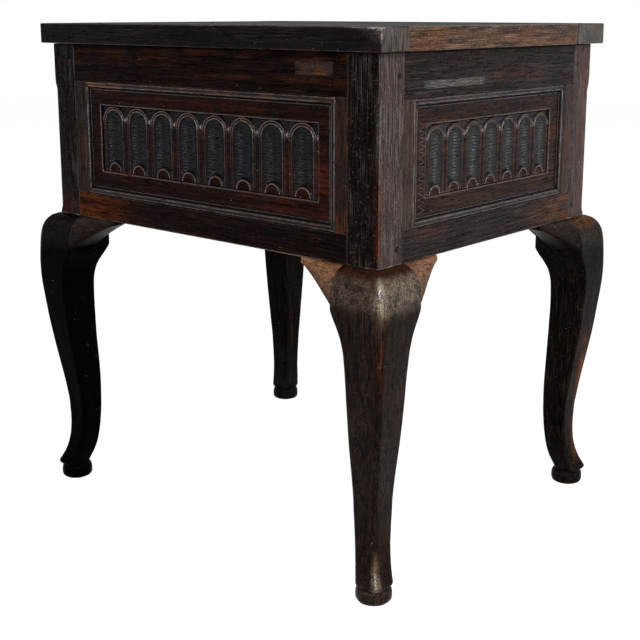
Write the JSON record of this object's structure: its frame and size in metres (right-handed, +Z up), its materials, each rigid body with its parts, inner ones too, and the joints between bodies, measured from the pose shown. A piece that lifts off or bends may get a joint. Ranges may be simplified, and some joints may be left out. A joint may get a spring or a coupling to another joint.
{
  "type": "bible box on stand",
  "caption": "Small panelled oak box with carved round-headed flutes and a lifting lid, on cabriole legs.",
  "frame": {"origin": "on the floor, under the centre of the box", "axes": "+Z up, front of the box towards -Y, +X to the right of someone facing the front"},
  "size_m": [0.5772, 0.4812, 0.61],
  "materials": {
    "case_oak": "dark waxed oak, satin",
    "stile_oak": "dark waxed oak, a little paler, satin",
    "carved_oak": "carved dark waxed oak, satin",
    "moulding_oak": "dark waxed oak moulding, rubbed on its bead",
    "patch_oak": "let-in slip of dark oak, satin",
    "peg_oak": "end grain of oak pegs, dark",
    "lid_oak": "dark waxed oak, polished by use",
    "leg_oak": "dark waxed oak, rubbed on the knees",
    "ear_oak": "dark waxed oak worn to orange brown",
    "floor_oak": "dry unwaxed oak, matt",
    "hinge_iron": "blackened wrought iron",
    "nail_iron": "blackened iron nail heads"
  },
  "bodies": {
    "box_on_legs": {"post_front_right": "case_oak", "leg_front_right": "leg_oak", "ear_front_right_front": "ear_oak", "ear_front_right_right": "ear_oak", "post_back_right": "case_oak", "leg_back_right": "leg_oak", "ear_back_right_right": "ear_oak", "ear_back_right_back": "ear_oak", "post_back_left": "case_oak", "leg_back_left": "leg_oak", "ear_back_left_back": "ear_oak", "ear_back_left_left": "ear_oak", "post_front_left": "case_oak", "leg_front_left": "leg_oak", "ear_front_left_left": "ear_oak", "ear_front_left_front": "ear_oak", "front_top_rail": "case_oak", "front_bottom_rail": "case_oak", "front_stiles": "stile_oak", "front_panel": "carved_oak", "front_moulding": "moulding_oak", "right_top_rail": "case_oak", "right_bottom_rail": "case_oak", "right_stiles": "stile_oak", "right_panel": "carved_oak", "right_moulding": "moulding_oak", "back_top_rail": "case_oak", "back_bottom_rail": "case_oak", "back_stiles": "stile_oak", "back_panel": "carved_oak", "back_moulding": "moulding_oak", "left_top_rail": "case_oak", "left_bottom_rail": "case_oak", "left_stiles": "stile_oak", "left_panel": "carved_oak", "left_moulding": "moulding_oak", "front_patch": "patch_oak", "right_patch": "patch_oak", "case_pegs": "peg_oak", "floor_bearer_front": "floor_oak", "floor_bearer_back": "floor_oak", "floor_board_left": "floor_oak", "floor_board_middle": "floor_oak", "floor_board_right": "floor_oak", "floor_nails": "nail_iron", "hinge_left_case_leaf": "hinge_iron", "hinge_right_case_leaf": "hinge_iron", "hinge_pins": "hinge_iron", "hinge_nails_case": "nail_iron"},
    "lid": {"lid_front_rail": "lid_oak", "lid_back_rail": "lid_oak", "lid_left_end": "lid_oak", "lid_right_end": "lid_oak", "lid_board_front": "lid_oak", "lid_board_back": "lid_oak", "lid_pegs": "peg_oak", "hinge_left_lid_leaf": "hinge_iron", "hinge_right_lid_leaf": "hinge_iron", "hinge_nails_lid": "nail_iron"}
  },
  "joints": [
    {"name": "lid_hinge", "type": "hinge", "parent": "box_on_legs", "child": "lid", "pos_m": [0, 0.2193, 0.58475], "axis": [-1, 0, 0], "range_deg": [0, 105]}
  ]
}
